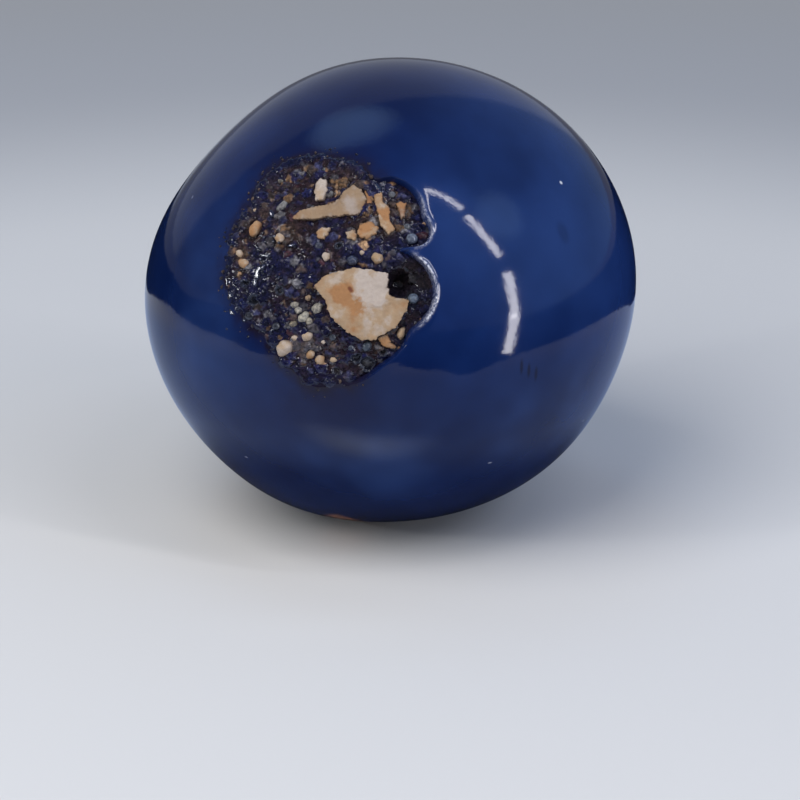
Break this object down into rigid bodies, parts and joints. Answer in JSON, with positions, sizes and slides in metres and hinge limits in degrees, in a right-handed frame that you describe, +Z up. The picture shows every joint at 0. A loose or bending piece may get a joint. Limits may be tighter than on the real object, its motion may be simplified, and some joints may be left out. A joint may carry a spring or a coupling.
{
  "type": "clay marble",
  "caption": "Hand-rolled clay marble with a thick cobalt-blue glaze, a rough kiln scar with clay chips on its front and a small bare kiln spot underneath.",
  "frame": {"origin": "middle of the ball: the centre of its bounding box", "axes": "+X to the right along the ball's widest way, -Y to the front, which carries the scar, +Z up along its lowest way, through the seat it stands on"},
  "size_m": [0.019, 0.0187, 0.0178],
  "materials": {
    "blue_glaze": "deep cobalt-blue glossy glaze over fired clay",
    "bare_clay": "bare fired clay, pale buff to tan with rust stains, matt and granular: the chips and grains held in the scar and the spot under the ball",
    "scar_slag": "dark melted grit and glaze between the chips, glossy in places"
  },
  "bodies": {
    "root": {"marble": "blue_glaze"}
  },
  "joints": []
}
